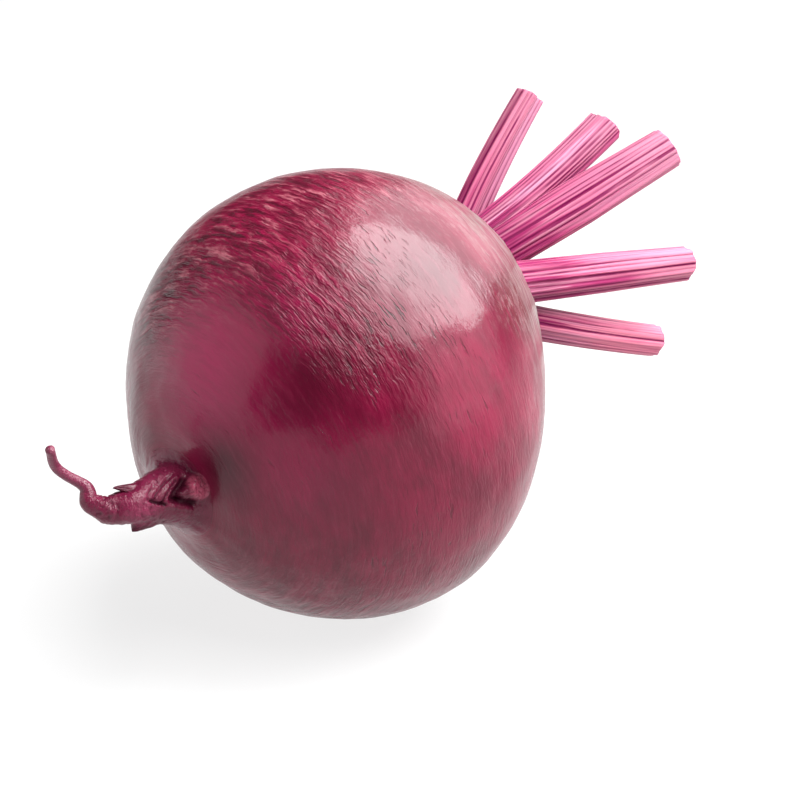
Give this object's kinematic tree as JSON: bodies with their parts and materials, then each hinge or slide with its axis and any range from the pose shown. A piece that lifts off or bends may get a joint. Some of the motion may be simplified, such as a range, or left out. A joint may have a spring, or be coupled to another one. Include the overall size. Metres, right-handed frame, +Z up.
{
  "type": "beetroot",
  "caption": "Whole fresh beetroot lying on its side, with a round swollen root, a bent tapering taproot and short cut leaf stalks; a vegetable for display or prop use.",
  "frame": {"origin": "on the floor, inside the small flat spot that the root rests on, under its middle", "axes": "+Z up, out of the floor; +X level, towards the crown and its leaf stalks, as the root lies; +Y to the left of +X seen from above"},
  "size_m": [0.1385, 0.0835, 0.0843],
  "materials": {
    "beet_skin": "smooth damp skin with a soft sheen, deep red to plum, finely wrinkled",
    "leaf_stalk": "smooth, moist and lengthwise ribbed, pink with darker grooves"
  },
  "bodies": {
    "root": {"root": "beet_skin", "leaf_stalk_1": "leaf_stalk", "leaf_stalk_2": "leaf_stalk", "leaf_stalk_3": "leaf_stalk", "leaf_stalk_4": "leaf_stalk", "leaf_stalk_5": "leaf_stalk"}
  },
  "joints": []
}
